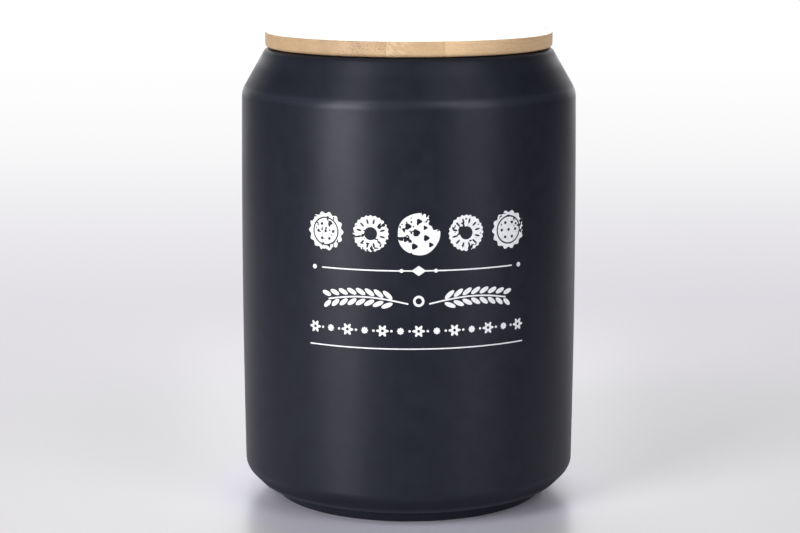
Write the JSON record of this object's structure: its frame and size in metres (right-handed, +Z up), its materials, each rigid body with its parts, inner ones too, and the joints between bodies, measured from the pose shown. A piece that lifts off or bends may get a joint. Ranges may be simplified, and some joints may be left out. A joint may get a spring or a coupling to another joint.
{
  "type": "biscuit jar",
  "caption": "Round ceramic biscuit jar shaped like a drinks can, with a rounded heel, a coned shoulder and a flat bamboo lid that lifts off a silicone-sealed mouth.",
  "frame": {"origin": "centre of the jar's foot, on the surface it stands on", "axes": "+Z up along the jar's axis; -Y is the printed front; the lid's grain runs front to back, turned 28.4 degrees"},
  "size_m": [0.145, 0.145, 0.201],
  "materials": {
    "glaze": "satin-matt dark navy glaze",
    "bamboo": "satin-lacquered bamboo",
    "silicone": "milky food-grade silicone"
  },
  "bodies": {
    "jar": {"jar": "glaze"},
    "lid": {"panel_strip_1": "bamboo", "panel_strip_2": "bamboo", "panel_strip_3": "bamboo", "panel_strip_4": "bamboo", "panel_strip_5": "bamboo", "panel_strip_6": "bamboo", "plug_strip_1": "bamboo", "plug_strip_2": "bamboo", "plug_strip_3": "bamboo", "plug_strip_4": "bamboo", "plug_strip_5": "bamboo", "seal_ring": "silicone"}
  },
  "joints": [
    {"name": "lid_lift", "type": "slide", "parent": "jar", "child": "lid", "axis": [0, 0, 1], "range_m": [0, 0.15]}
  ]
}
